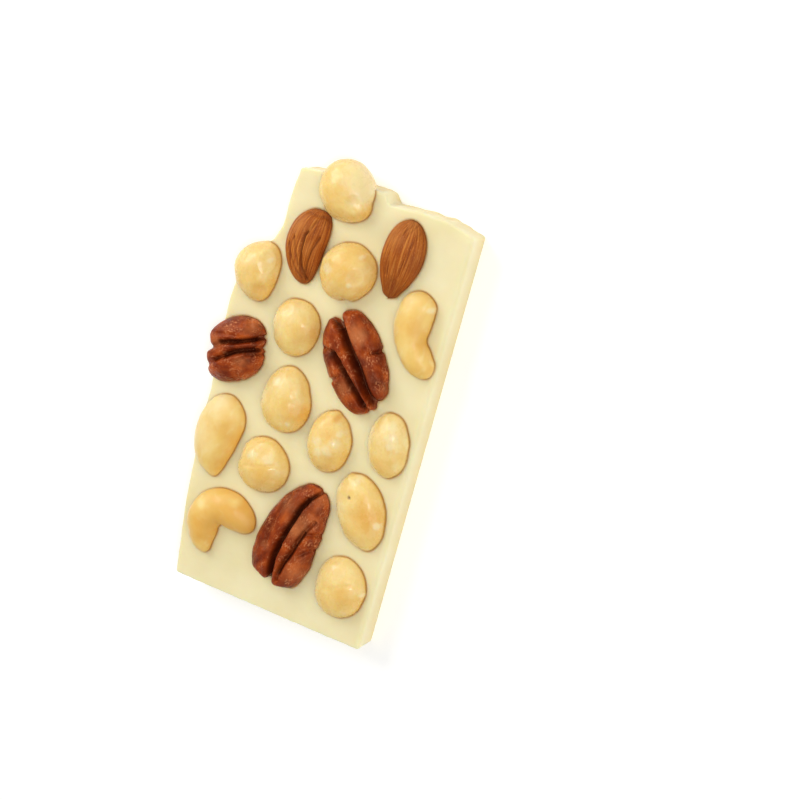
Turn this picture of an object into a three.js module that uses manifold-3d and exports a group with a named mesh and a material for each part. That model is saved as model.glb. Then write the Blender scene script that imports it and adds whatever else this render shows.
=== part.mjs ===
// White chocolate bark: one broken piece of a white chocolate slab, lying flat, with whole
// macadamias, almonds, cashews and pecan halves set into its upper face.
// Sizes are millimetres and +Z is up. Places are measured on the slab's upper face, from its
// lower right corner: x along the bottom edge (the slab lies at negative x), y up the straight
// right edge, and height from the face. Headings are degrees, anticlockwise from +x.
import * as THREE from 'three';
import Module from 'manifold-3d';

const SLAB_WIDTH = 62;
const SLAB_LENGTH = 124;
const SLAB_THICKNESS = 9.5;
const TOP_EDGE_RADIUS = 1.2;
const FOOT_EDGE_RADIUS = 0.4;
// How far from a corner of the outline its rounding starts.
const CORNER_REACH = 0.8;
const CORNER_STEPS = 3;
const EDGE_STEPS = 3;

// Clear gap between each kernel and the chocolate around it.
const SOCKET_GAP = 0.32;
// The slab's outline: two clean edges at the right and the bottom, two broken ones.
const SLAB_CORNERS = [
  [0, 0],
  [0, SLAB_LENGTH],
  [-8.5, 126],
  [-17, 126],
  [-26.5, 125.2],
  [-28.5, 127.8],
  [-48, 128.2],
  [-55, 127.3],
  [-56, 118.5],
  [-56, 110],
  [-58, 105],
  [-62.5, 101.5],
  [-65.2, 96],
  [-66.6, 86],
  [-66.6, 79.5],
  [-65.5, 57],
  [-65.8, 49],
  [-64.6, 22],
  [-SLAB_WIDTH, 0],
];

// Macadamias: rise is the height above the face, and corner swells the outline at three
// places a third of a turn apart, the first at cornerAt degrees from the heading.
const MACADAMIAS = [
  {
    x: -39.5, y: 125.2, halfLength: 8.9, halfWidth: 8.2, heading: 130, rise: 6.4,
    corner: 0.01, cornerAt: -36,
  },
  {
    x: -32.9, y: 103.7, halfLength: 8.6, halfWidth: 8.1, heading: 50, rise: 7.2,
    corner: 0.01, cornerAt: -150,
  },
  {
    x: -59.8, y: 95.6, halfLength: 8.7, halfWidth: 7, heading: 87, rise: 6.2,
    corner: 0.06, cornerAt: -152,
  },
  {
    x: -43.9, y: 83.6, halfLength: 8.4, halfWidth: 7.2, heading: 97, rise: 5.8,
    corner: 0.03, cornerAt: -72,
  },
  {
    x: -41.2, y: 62.4, halfLength: 9.8, halfWidth: 7.7, heading: 95, rise: 5.8,
    corner: 0.02, cornerAt: -120,
  },
  {
    x: -43, y: 41.6, halfLength: 8.2, halfWidth: 8.2, heading: 80, rise: 5.6,
    corner: 0.02, cornerAt: 30,
  },
  {
    x: -25.1, y: 55.4, halfLength: 9.1, halfWidth: 6.8, heading: 92, rise: 5.4,
    corner: 0.01, cornerAt: 0,
  },
  {
    x: -7.7, y: 60.7, halfLength: 9.6, halfWidth: 6.4, heading: 100, rise: 4.6,
    corner: 0.01, cornerAt: 90,
  },
  {
    x: -10.4, y: 39.5, halfLength: 11.4, halfWidth: 7.7, heading: 118, rise: 4.8,
    corner: 0.02, cornerAt: 60,
  },
  {
    x: -10.2, y: 15.9, halfLength: 9.3, halfWidth: 8, heading: 90, rise: 5.4,
    corner: 0.01, cornerAt: 40,
  },
];
// How deep a macadamia reaches below the face.
const MACADAMIA_SINK = 7.2;
// Below 1, a macadamia's outline is a little squarer than an ellipse.
const MACADAMIA_SQUARENESS = 0.9;

// Almonds: the heading points to the tip, a higher power makes that end sharper, and bow
// swells the kernel to the left of its heading.
const ALMONDS = [
  {
    x: -45.6, y: 107, halfLength: 10.8, halfWidth: 6.1, heading: -92,
    tipPower: 0.48, backPower: 0.36, bow: -2,
  },
  {
    x: -18.6, y: 112, halfLength: 11.5, halfWidth: 6.2, heading: -94,
    tipPower: 0.7, backPower: 0.51, bow: 0,
  },
];
const ALMOND_HALF_HEIGHT = 4.5;
const ALMOND_CENTRE_HEIGHT = -0.1;

// Cashews: a round section swept along a spine that starts straight at x, y, bends by turn
// between two shares of its length, and ends straight. inner scales the width of its hollow side.
const CASHEWS = [
  {
    x: -9.3, y: 105.5, heading: -98, turn: 62, length: 25.6, bendFrom: 0.25, bendTo: 0.85,
    startWidth: 6.6, middleWidth: 4.8, endWidth: 4.6, bluntness: 3.3, inner: 1,
  },
  {
    x: -57, y: 57.5, heading: -105, turn: 33, length: 25.6, bendFrom: 0.34, bendTo: 0.83,
    startWidth: 7, middleWidth: 8, endWidth: 4.4, bluntness: 2.7, inner: 1.05,
  },
  {
    x: -41, y: 22, heading: 163, turn: 115, length: 28.4, bendFrom: 0.28, bendTo: 0.72,
    startWidth: 6.4, middleWidth: 6.5, endWidth: 5.1, bluntness: 2.7, inner: 0.86,
  },
];
const CASHEW_HALF_HEIGHT = 5.4;
const CASHEW_CENTRE_HEIGHT = -0.2;

// Pecan halves lie on their flat side, and skew slants their ends. A groove runs lengthwise at a
// share of the half width, from one place along the kernel to another (-1 is the tail, 1 the
// head), and fades out at both.
const PECANS = [
  {
    x: -59.7, y: 71.5, halfLength: 8.6, halfWidth: 9.4, heading: 20,
    headPower: 0.29, tailPower: 0.22, bow: 0, skew: 0.22,
    grooves: [
      { at: 0.24, depth: 2.2, width: 0.1, from: -1.2, to: 1.2 },
      { at: -0.24, depth: 2.4, width: 0.1, from: -1.2, to: 1.2 },
    ],
  },
  {
    x: -23.6, y: 80.1, halfLength: 14.4, halfWidth: 9.1, heading: -55,
    headPower: 0.36, tailPower: 0.34, bow: 0, skew: 0,
    grooves: [
      { at: 0.06, depth: 3, width: 0.12, from: -1.2, to: 1.2 },
      { at: -0.42, depth: 1.8, width: 0.09, from: -1, to: 1.2 },
    ],
  },
  {
    x: -27.8, y: 25.9, halfLength: 16.1, halfWidth: 9.2, heading: 77,
    headPower: 0.41, tailPower: 0.22, bow: 1, skew: 0,
    grooves: [
      { at: 0.1, depth: 3, width: 0.11, from: -1.2, to: 1.2 },
      { at: -0.38, depth: 2, width: 0.1, from: -1.2, to: 0.4 },
    ],
  },
];
const PECAN_RISE = 5.6;
const PECAN_SINK = 3;
const GROOVE_FADE = 0.25;
// Powers that shape a pecan half's domed upper side, its flat base and the fall to its ends.
const PECAN_DOME_POWER = 0.8;
const PECAN_BASE_POWER = 0.5;
const PECAN_END_POWER = 0.7;
// Grooves keep their depth nearly to the kernel's edge.
const GROOVE_EDGE_POWER = 0.3;

// Facets: rings from end to end (or from top to bottom), and sides round each ring.
const MACADAMIA_FACETS = { rings: 10, sides: 20 };
const ALMOND_FACETS = { rings: 12, sides: 20 };
const CASHEW_FACETS = { rings: 13, sides: 16 };
const PECAN_FACETS = { rings: 13, sides: 28 };
const SPINE_STEPS = 40;

const CHOCOLATE = material('white chocolate', 0xf0e6bd, 0.38);
const MACADAMIA = material('macadamia', 0xedc987, 0.42);
const ALMOND_SKIN = material('almond skin', 0xa85d27, 0.6);
const CASHEW = material('cashew', 0xedbb69, 0.45);
const PECAN_SKIN = material('pecan skin', 0x93502f, 0.5);

function material(name, colour, roughness) {
  return new THREE.MeshStandardMaterial({ name, color: colour, roughness, metalness: 0 });
}

// A closed surface from one pole to the other: pointAt takes the shares 0 to 1 of the way
// between the poles and round the body.
function closedSurface({ rings, sides }, pointAt) {
  const positions = [...pointAt(0, 0).toArray()];
  for (let ring = 1; ring < rings; ring += 1) {
    for (let side = 0; side < sides; side += 1) {
      positions.push(...pointAt(ring / rings, side / sides).toArray());
    }
  }
  positions.push(...pointAt(1, 0).toArray());

  const lastPole = positions.length / 3 - 1;
  const faces = [];
  for (let side = 0; side < sides; side += 1) {
    const next = (side + 1) % sides;
    faces.push(0, 1 + side, 1 + next);
    for (let ring = 0; ring < rings - 2; ring += 1) {
      const near = 1 + ring * sides;
      const far = near + sides;
      faces.push(near + side, far + side, far + next);
      faces.push(near + side, far + next, near + next);
    }
    const lastRing = lastPole - sides;
    faces.push(lastRing + side, lastPole, lastRing + next);
  }
  return indexedGeometry(positions, faces);
}

function indexedGeometry(positions, faces) {
  const geometry = new THREE.BufferGeometry();
  geometry.setAttribute('position', new THREE.Float32BufferAttribute(positions, 3));
  geometry.setIndex(faces);
  geometry.computeVertexNormals();
  return geometry;
}

// Turns a point given along, across and above a kernel into the slab's coordinates.
function onSlab(kernel, along, across, height) {
  const heading = THREE.MathUtils.degToRad(kernel.heading);
  return new THREE.Vector3(
    kernel.x + along * Math.cos(heading) - across * Math.sin(heading),
    kernel.y + along * Math.sin(heading) + across * Math.cos(heading),
    height,
  );
}

// The half width of a kernel, as a share of its greatest, at place -1 (tail) to 1 (head).
function taperedProfile(place, headPower, tailPower) {
  const widest = (tailPower - headPower) / (tailPower + headPower);
  const peak = (1 - widest) ** headPower * (1 + widest) ** tailPower;
  return (1 - place) ** headPower * (1 + place) ** tailPower / peak;
}

// A long kernel's rings run from its head (1) to its tail (-1), closer towards both ends.
function placeAlong(share) {
  return Math.cos(Math.PI * share);
}

function macadamiaGeometry(kernel, grow) {
  const halfHeight = (kernel.rise + MACADAMIA_SINK) / 2;
  const centreHeight = (kernel.rise - MACADAMIA_SINK) / 2;
  const cornerAt = THREE.MathUtils.degToRad(kernel.cornerAt);
  return closedSurface(MACADAMIA_FACETS, (share, round) => {
    const tilt = Math.PI * share;
    const angle = 2 * Math.PI * round;
    const spread = Math.sin(tilt) ** MACADAMIA_SQUARENESS;
    const outline = spread * (1 + kernel.corner * Math.cos(3 * (angle - cornerAt)));
    const along = (kernel.halfLength + grow) * outline * Math.cos(angle);
    const across = (kernel.halfWidth + grow) * outline * Math.sin(angle);
    return onSlab(kernel, along, across, centreHeight + (halfHeight + grow) * Math.cos(tilt));
  });
}

function almondGeometry(kernel, grow) {
  return closedSurface(ALMOND_FACETS, (share, round) => {
    const place = placeAlong(share);
    const angle = 2 * Math.PI * round;
    const size = taperedProfile(place, kernel.tipPower, kernel.backPower);
    const bow = kernel.bow * (1 - place * place);
    const across = (kernel.halfWidth + grow) * size * Math.cos(angle) + bow;
    const height = (ALMOND_HALF_HEIGHT + grow) * size * Math.sin(angle);
    return onSlab(kernel, (kernel.halfLength + grow) * place, across, ALMOND_CENTRE_HEIGHT + height);
  });
}

// The direction of a cashew's spine at a share of its length, in radians.
function spineHeading(kernel, share) {
  const bend = (share - kernel.bendFrom) / (kernel.bendTo - kernel.bendFrom);
  return THREE.MathUtils.degToRad(kernel.heading + kernel.turn * THREE.MathUtils.clamp(bend, 0, 1));
}

function spinePoint(kernel, share) {
  const stepLength = kernel.length * share / SPINE_STEPS;
  const point = { x: kernel.x, y: kernel.y };
  for (let step = 0; step < SPINE_STEPS; step += 1) {
    const heading = spineHeading(kernel, share * (step + 0.5) / SPINE_STEPS);
    point.x += stepLength * Math.cos(heading);
    point.y += stepLength * Math.sin(heading);
  }
  return point;
}

function cashewGeometry(kernel, grow) {
  const widest = Math.max(kernel.startWidth, kernel.middleWidth, kernel.endWidth);
  return closedSurface(CASHEW_FACETS, (ringShare, round) => {
    const place = placeAlong(ringShare);
    const share = (place + 1) / 2;
    const angle = 2 * Math.PI * round;
    const cap = Math.sqrt(Math.max(0, 1 - Math.abs(place) ** kernel.bluntness));
    const width = kernel.startWidth * (1 - share) ** 2
      + kernel.middleWidth * 2 * share * (1 - share)
      + kernel.endWidth * share ** 2;
    let across = (width + grow) * cap * Math.cos(angle);
    if (across > 0) {
      across *= kernel.inner;
    }
    const height = (CASHEW_HALF_HEIGHT + grow) * cap * Math.sqrt(width / widest) * Math.sin(angle);
    const spine = spinePoint(kernel, share);
    const heading = spineHeading(kernel, share);
    return new THREE.Vector3(
      spine.x + grow * place * Math.cos(heading) - across * Math.sin(heading),
      spine.y + grow * place * Math.sin(heading) + across * Math.cos(heading),
      CASHEW_CENTRE_HEIGHT + height,
    );
  });
}

function grooveDepth(kernel, place, side) {
  let depth = 0;
  for (const groove of kernel.grooves) {
    const offset = (side - groove.at) / groove.width;
    const fadeIn = THREE.MathUtils.smoothstep(place, groove.from, groove.from + GROOVE_FADE);
    const fadeOut = 1 - THREE.MathUtils.smoothstep(place, groove.to - GROOVE_FADE, groove.to);
    depth += groove.depth * fadeIn * fadeOut * Math.exp(-offset * offset);
  }
  return depth;
}

// A socket (grow above 0) follows the pecan's outer form, without its grooves.
function pecanGeometry(kernel, grow) {
  return closedSurface(PECAN_FACETS, (share, round) => {
    const place = placeAlong(share);
    const angle = 2 * Math.PI * round;
    const size = taperedProfile(place, kernel.headPower, kernel.tailPower);
    const side = Math.cos(angle);
    const lift = Math.sin(angle);
    const across = (kernel.halfWidth + grow) * size * side + kernel.bow * (1 - place * place);
    const along = (kernel.halfLength + grow) * place + kernel.skew * across;
    const fall = size ** PECAN_END_POWER;
    if (lift <= 0) {
      return onSlab(kernel, along, across, -(PECAN_SINK + grow) * fall * (-lift) ** PECAN_BASE_POWER);
    }
    let height = (PECAN_RISE + grow) * fall * lift ** PECAN_DOME_POWER;
    if (grow === 0) {
      height -= grooveDepth(kernel, place, side) * Math.sqrt(size) * lift ** GROOVE_EDGE_POWER;
    }
    return onSlab(kernel, along, across, height);
  });
}

// The inward normal of the edge from one corner to the next.
function edgeNormal(from, to) {
  return new THREE.Vector2(from[1] - to[1], to[0] - from[0]).normalize();
}

// The outline's corners after every edge has moved inwards by inset.
function insetCorners(inset) {
  return SLAB_CORNERS.map((corner, index) => {
    const before = edgeNormal(SLAB_CORNERS.at(index - 1), corner);
    const after = edgeNormal(corner, SLAB_CORNERS[(index + 1) % SLAB_CORNERS.length]);
    const move = inset / (1 + before.dot(after));
    return new THREE.Vector2(...corner).addScaledVector(before.add(after), move);
  });
}

// The outline, moved inwards by inset, with each corner turned into a short curve.
function slabOutline(inset) {
  const corners = insetCorners(inset);
  const points = [];
  corners.forEach((corner, index) => {
    const toBefore = corners.at(index - 1).clone().sub(corner);
    const toAfter = corners[(index + 1) % corners.length].clone().sub(corner);
    const reach = Math.min(CORNER_REACH, toBefore.length() / 2.5, toAfter.length() / 2.5);
    const start = toBefore.setLength(reach).add(corner);
    const end = toAfter.setLength(reach).add(corner);
    points.push(...new THREE.QuadraticBezierCurve(start, corner, end).getPoints(CORNER_STEPS));
  });
  return points;
}

// The slab is a stack of outlines: a small round at the foot, and a wider one at the top.
function slabLayers() {
  const layers = [
    { height: -SLAB_THICKNESS, inset: FOOT_EDGE_RADIUS },
    { height: -SLAB_THICKNESS + FOOT_EDGE_RADIUS, inset: 0 },
  ];
  for (let step = 0; step <= EDGE_STEPS; step += 1) {
    const angle = Math.PI / 2 * step / EDGE_STEPS;
    layers.push({
      height: TOP_EDGE_RADIUS * (Math.sin(angle) - 1),
      inset: TOP_EDGE_RADIUS * (1 - Math.cos(angle)),
    });
  }
  return layers;
}

function plainSlabGeometry() {
  const layers = slabLayers();
  const count = slabOutline(0).length;
  const positions = [];
  for (const layer of layers) {
    for (const point of slabOutline(layer.inset)) {
      positions.push(point.x, point.y, layer.height);
    }
  }

  const faces = [];
  for (let layer = 0; layer < layers.length - 1; layer += 1) {
    for (let index = 0; index < count; index += 1) {
      const next = (index + 1) % count;
      const low = layer * count;
      const high = low + count;
      faces.push(low + index, low + next, high + next);
      faces.push(low + index, high + next, high + index);
    }
  }
  const topLayer = (layers.length - 1) * count;
  for (const [a, b, c] of THREE.ShapeUtils.triangulateShape(slabOutline(0), [])) {
    faces.push(topLayer + a, topLayer + b, topLayer + c);
    faces.push(c, b, a);
  }
  return indexedGeometry(positions, faces);
}

const wasm = await Module();
wasm.setup();

function toManifold(geometry) {
  return new wasm.Manifold(new wasm.Mesh({
    numProp: 3,
    vertProperties: new Float32Array(geometry.attributes.position.array),
    triVerts: new Uint32Array(geometry.index.array),
  }));
}

function fromManifold(solid) {
  const mesh = solid.getMesh();
  return indexedGeometry(Array.from(mesh.vertProperties), Array.from(mesh.triVerts));
}

// The slab with a socket for every kernel: the kernel's own shape, grown by the gap.
function slabGeometry(sockets) {
  let slab = toManifold(plainSlabGeometry());
  for (const socket of sockets) {
    slab = slab.subtract(toManifold(socket));
  }
  return fromManifold(slab);
}

function addMesh(group, name, geometry, surface) {
  const mesh = new THREE.Mesh(geometry, surface);
  mesh.name = name;
  group.add(mesh);
}

const KINDS = [
  { name: 'macadamia', kernels: MACADAMIAS, geometry: macadamiaGeometry, surface: MACADAMIA },
  { name: 'almond', kernels: ALMONDS, geometry: almondGeometry, surface: ALMOND_SKIN },
  { name: 'cashew', kernels: CASHEWS, geometry: cashewGeometry, surface: CASHEW },
  { name: 'pecan', kernels: PECANS, geometry: pecanGeometry, surface: PECAN_SKIN },
];

const bark = new THREE.Group();
const sockets = [];
for (const kind of KINDS) {
  kind.kernels.forEach((kernel, index) => {
    const name = `${kind.name}_${String(index + 1).padStart(2, '0')}`;
    addMesh(bark, name, kind.geometry(kernel, 0), kind.surface);
    sockets.push(kind.geometry(kernel, SOCKET_GAP));
  });
}
addMesh(bark, 'chocolate_slab', slabGeometry(sockets), CHOCOLATE);

// The origin is the middle of the whole piece's box, on the surface that it lies on.
const box = new THREE.Box3().setFromObject(bark);
const middle = box.getCenter(new THREE.Vector3());
bark.position.set(-middle.x, -middle.y, -box.min.z);

export default bark;
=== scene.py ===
"""Looks of the white chocolate bark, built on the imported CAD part.

The slab and every nut get a fine mesh that stands for the coarse CAD solid of the same name and
sizes. Wrinkles, grooves, film, the rise of chocolate round each nut and the broken edges' relief
are added here. Lengths are in millimetres until a mesh is made, apart from the floor and lights.
"""

import math

import bpy
import numpy as np
from mathutils import Matrix, Vector, noise
from mathutils.bvhtree import BVHTree
from mathutils.geometry import delaunay_2d_cdt
from mathutils.kdtree import KDTree


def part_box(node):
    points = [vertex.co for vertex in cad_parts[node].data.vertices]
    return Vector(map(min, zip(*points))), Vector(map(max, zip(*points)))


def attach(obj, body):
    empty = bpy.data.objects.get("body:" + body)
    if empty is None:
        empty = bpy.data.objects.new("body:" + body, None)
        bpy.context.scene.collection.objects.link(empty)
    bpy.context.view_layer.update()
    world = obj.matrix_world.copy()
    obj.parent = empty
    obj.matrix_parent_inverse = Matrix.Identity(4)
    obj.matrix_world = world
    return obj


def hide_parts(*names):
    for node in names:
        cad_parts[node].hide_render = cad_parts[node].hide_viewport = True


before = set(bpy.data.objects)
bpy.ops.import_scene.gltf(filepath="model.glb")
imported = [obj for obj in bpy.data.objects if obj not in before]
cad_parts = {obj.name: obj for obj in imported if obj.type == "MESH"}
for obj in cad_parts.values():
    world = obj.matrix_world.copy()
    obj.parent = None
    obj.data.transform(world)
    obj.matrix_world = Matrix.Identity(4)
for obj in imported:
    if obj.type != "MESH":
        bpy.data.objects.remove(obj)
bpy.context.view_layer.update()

MM = 0.001
# How far apart two seeds lie in the noise.
SEED_SHIFT = 31.7

# The slab, in its own coordinates: x across, y along the straight long edge, and height from the
# face that holds the nuts. The first two corners are the straight long edge, which never broke.
SLAB_THICKNESS = 9.5
SLAB_CORNERS = (
    (0, 0), (0, 124), (-8.5, 126), (-17, 126), (-26.5, 125.2), (-28.5, 127.8), (-48, 128.2),
    (-55, 127.3), (-56, 118.5), (-56, 110), (-58, 105), (-62.5, 101.5), (-65.2, 96), (-66.6, 86),
    (-66.6, 79.5), (-65.5, 57), (-65.8, 49), (-64.6, 22), (-62, 0),
)  # fmt: skip
CORNER_REACH = 0.8
CORNER_POINTS = 9
STRAIGHT_EDGE_RADIUS = 1.6
# The straight edge's rounding runs out over this length at both ends.
STRAIGHT_EDGE_ENDS = 3
BROKEN_EDGE_RADIUS = 0.5
FOOT_EDGE_RADIUS = 0.4
EDGE_STEPS = 6
SIDE_STEPS = 18
OUTLINE_STEP = 0.4
# Broken sides: how far from the straight edge they begin and are in full, and the (depth, width,
# seed) of their chips.
BREAK_BEGINS = 0.3
BREAK_IN_FULL = 2.5
BREAK_RELIEF = ((0.35, 2.6, 1), (0.1, 0.7, 2))
# The share of that relief which reaches the rim of the face, and how far below it is in full.
RIM_CALM = 0.35
RIM_CALM_DEPTH = 3
# The face: slow waves from pouring, and the step between its points. Further than NEAR_NUT from a nut
# the step is twice as long, and RIM_GAP keeps the points off the rim.
FACE_WAVE = 0.16
FACE_WAVE_SIZE = 19
FACE_RIPPLE = 0.035
FACE_RIPPLE_SIZE = 5
FACE_STEP = 0.26
NEAR_NUT = 0.9
RIM_GAP = 0.8 * OUTLINE_STEP
# All of this fades out over this height at the rounded rim.
EDGE_BLEND = 1.5
# Chocolate rises against the nuts, most on the side that the nut was pushed towards.
RISE_LEAST = 0.12
RISE_MOST = 0.55
RISE_REACH = 0.8
RISE_RIPPLE = 0.4
RISE_RIPPLE_SIZE = 2.5
PUSHED_TOWARDS = 200
# On the other side a thin gap is left, darkened by painted shade, and painted shade yellows the
# chocolate towards every nut.
CREVICE_DEPTH = 0.2
CREVICE_WIDTH = 0.28
CREVICE_SHADE_WIDTH = 0.34
NUT_SHADE_REACH = 4
# Under a nut the face falls away at this slope, to this depth.
UNDER_NUT_SLOPE = 1.5
UNDER_NUT_DEPTH = 3
# No point of the face that a nut covers is further than this from the nut's surface.
DEEPEST_NUT = 9

# Every kernel lies at x, y with its long axis along heading, in degrees. Features are given in its
# own millimetres, along and across: the film patches are (along, across, radius) of patches of
# chocolate that also paint some highlights, spots are dark marks given the same way, tints are
# (along, across, radius, amount) of a paler or, below 0, deeper area, partly the skin's own tone and
# partly painted highlight and shade, dents are (along, across, radius, depth), and a flat shaves a
# side off: (bearing, tilt from up, depth). rise is how far a macadamia stands above the face, and
# corner is how three-cornered its outline is, with a corner at bearing corner_at.
MACADAMIAS = (
    dict(x=-39.5, y=125.2, half_length=8.9, half_width=8.2, heading=130, rise=6.4,
         corner=0.01, corner_at=-36, film_and_highlight=((-3, -8.6, 2.4),),
         tints=((-3.6, -8.8, 6, 1), (1.5, -8.6, 5.5, 1), (-8.5, -4.1, 2.5, -0.6),
                (-0.7, 4.2, 3, -0.3)),
         dents=((-7.5, -2.5, 2.2, -0.5), (-6, -5.5, 1.3, 0.4), (-4, 2, 3, 0.2)),
         flats=((-150, 30, 0.4),)),
    dict(x=-32.9, y=103.7, half_length=8.6, half_width=8.1, heading=50, rise=7.2,
         corner=0.01, corner_at=-150, film_and_highlight=((-2.6, 3.6, 1.9), (0.5, -4.2, 0.9), (7.3, 0.6, 0.8)),
         tints=((2.8, -8.5, 3, -0.9), (-5.9, -1.8, 3, -0.5), (2.7, -0.4, 3.5, -0.5)),
         dents=((-5.4, -6.4, 1.3, 0.7), (-7.5, -3, 1.6, -0.3), (2, -3, 2.2, 0.2)),
         flats=((130, 32, 0.6), (-50, 30, 0.4))),
    dict(x=-59.8, y=95.6, half_length=8.7, half_width=7, heading=87, rise=6.2,
         corner=0.06, corner_at=-152, film_and_highlight=((4.7, -4.2, 1),),
         tints=((-5, -3.6, 2.6, -0.7), (3, 2, 3, 0.3)),
         dents=((-4.2, -4.4, 1.4, 0.7), (1, -2.2, 2.4, 0.35), (-1, 2.5, 2, -0.2)),
         flats=((-60, 40, 0.6), (60, 40, 0.4))),
    dict(x=-43.9, y=83.6, half_length=8.4, half_width=7.2, heading=97, rise=5.8,
         corner=0.03, corner_at=-72,
         tints=((5.2, -0.8, 3.6, 0.5), (0.5, 7.5, 4.5, 1), (-0.2, -5.6, 3, -0.6)),
         dents=((0, 1, 5, -0.2), (-4, -4, 2.5, 0.2)), flats=((20, 35, 0.3),)),
    dict(x=-41.2, y=62.4, half_length=9.8, half_width=7.7, heading=95, rise=5.8,
         corner=0.02, corner_at=-120, film_and_highlight=((-5.8, -3.1, 0.8), (5.6, 2.4, 1.4)),
         tints=((-2.3, -6.7, 3.4, -1), (5.6, 0.5, 3.4, 0.5), (0, 8, 4, 0.7)),
         dents=((2, 3, 3, 0.2), (0, -4, 2.5, 0.2)), flats=((30, 35, 0.3),)),
    dict(x=-43, y=41.6, half_length=8.2, half_width=8.2, heading=80, rise=5.6,
         corner=0.02, corner_at=30, film_and_highlight=((2.4, 2.6, 1.8), (3.9, -1.9, 1.8)),
         tints=((4.6, 2, 3, 0.4), (-1.9, -2.1, 4, -0.6)), dents=((-2, 1, 3, 0.15),),
         creases=((0.12, 0.5, ((-1.3, 3.6), (1, -0.8), (3.4, -5.2))),),
         flats=((0, 30, 0.6), (90, 62, 0.5), (-90, 35, 0.3))),
    dict(x=-25.1, y=55.4, half_length=9.1, half_width=6.8, heading=92, rise=5.4,
         corner=0.01, corner_at=0,
         film_and_highlight=((0.3, 2.1, 2), (-2.3, 1, 2), (-1.2, -1.4, 2), (1.4, -3.3, 1.7), (4.4, -4.2, 1.4)),
         tints=((3, -0.7, 1.8, -0.6), (7.9, -1.6, 1.1, -1), (-5.5, -3, 3, -0.5)),
         dents=((8.7, -0.7, 1.5, -0.45), (7.6, -1.7, 0.8, 0.35), (3.2, 0, 2.6, 0.4),
                (-0.6, -1, 3, -0.2))),
    dict(x=-7.7, y=60.7, half_length=9.6, half_width=6.4, heading=100, rise=4.6,
         corner=0.01, corner_at=90, film_and_highlight=((5.8, -1.6, 2), (3.2, -2, 2.1), (0.8, -2.2, 1.6)),
         tints=((3.5, -2, 4.5, 0.5), (-5, 0.5, 3, -0.3)), dents=((3, -2, 4, -0.2),),
         flats=((80, 50, 0.5),)),
    dict(x=-10.4, y=39.5, half_length=11.4, half_width=7.7, heading=118, rise=4.8,
         corner=0.02, corner_at=60, film_and_highlight=((9, -1.6, 1.6), (-4.5, -5.2, 1.3)),
         tints=((-1.7, -3.4, 5, -1), (3.6, 4.2, 3.6, 0.5), (-7, 1.4, 3, 0.3)),
         dents=((4.9, 0.9, 0.45, 0.4), (-1.3, -2.2, 2.6, 0.3), (10, 0.6, 1.2, -0.4),
                (4, -4, 2, -0.2)),
         spots=((4.9, 0.9, 0.6),)),
    dict(x=-10.2, y=15.9, half_length=9.3, half_width=8, heading=90, rise=5.4,
         corner=0.01, corner_at=40, film_and_highlight=((0.8, -7.4, 0.9),),
         tints=((6.4, 0.5, 5, 0.5), (-0.9, -3.6, 4.5, -0.5)), dents=((-4, -1, 3, 0.2),),
         creases=((0.12, 0.6, ((-1.7, 5.1), (0.1, 1.5), (2.3, -1.9), (3.4, -5.6))),),
         flats=((0, 20, 0.3),)),
)  # fmt: skip
MACADAMIA_SINK = 7.2
MACADAMIA_SQUARENESS = 0.9

# Creases press a groove along a path of (along, across) points: (depth, width, path). An end is
# blunter the lower its power is, bow moves the middle aside, ridges is the depth of the lengthwise
# ridges, and creep is the share of the usual film that creeps along the foot.
ALMONDS = (
    dict(x=-45.6, y=107, half_length=10.8, half_width=6.1, heading=-92,
         tip_power=0.48, back_power=0.36, bow=-2, ridges=0.06, creep=0.1,
         creases=(
             (0.4, 0.42, ((-7.9, 0.8), (-4.5, -0.7))),
             (0.75, 0.42, ((-4.5, -0.7), (-3.2, -1.3), (1.4, -1.2), (5.7, -0.2), (9, 1.8))),
             (0.65, 0.36, ((-3.7, 2.6), (0.1, 1.6), (4.1, 1.1), (7.6, 1.2))),
             (0.5, 0.32, ((0.3, -5.8), (3.7, -4.2), (7, -1.9), (9, 0.5))),
             (0.5, 0.32, ((-1.9, -4.6), (2.1, -2.9), (5.5, -1.2), (7.7, 0.6))),
             (0.4, 0.4, ((-9.4, -3), (-9.2, 0.8), (-9.6, 2.6), (-8.6, 4.4))),
         ),
         tints=((-5.4, -4.4, 3, 0.6), (0, 1.3, 2.5, 0.4), (-7.2, 2.1, 1.5, 0.3),
                (-10, 4.5, 3.5, -0.9), (8.2, 2.4, 3, -0.6), (0, 6, 3, -0.7))),
    dict(x=-18.6, y=112, half_length=11.5, half_width=6.2, heading=-94,
         tip_power=0.7, back_power=0.51, bow=0, ridges=0.09, creep=0.1,
         creases=(
             (0.3, 0.4, ((-10.6, 0.7), (-6.3, -1.4), (-0.8, -2.2), (4.7, -1.7))),
             (0.25, 0.35, ((-10.8, 1.8), (-6.5, 0.4), (-0.5, -0.1), (6.2, 0.2))),
             (0.25, 0.35, ((-10, -1), (-5.7, -3), (-0.4, -3.3))),
             (0.2, 0.35, ((-9.6, 3.4), (-6.4, 3.1), (-1.5, 2.2), (4.4, 1.9))),
         ),
         tints=((-6, -3.5, 3.5, 0.7), (-10.5, 0.3, 2.5, 0.6), (8.2, 1, 4, -0.7), (-0.3, 7, 4, -0.6),
                (2, -3.5, 3, -0.4)),
         dents=((10, 1.7, 1.3, -0.35), (10.2, -1.5, 1.3, -0.35))),
)  # fmt: skip
ALMOND_HALF_HEIGHT = 4.5
ALMOND_CENTRE_HEIGHT = -0.1

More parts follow.
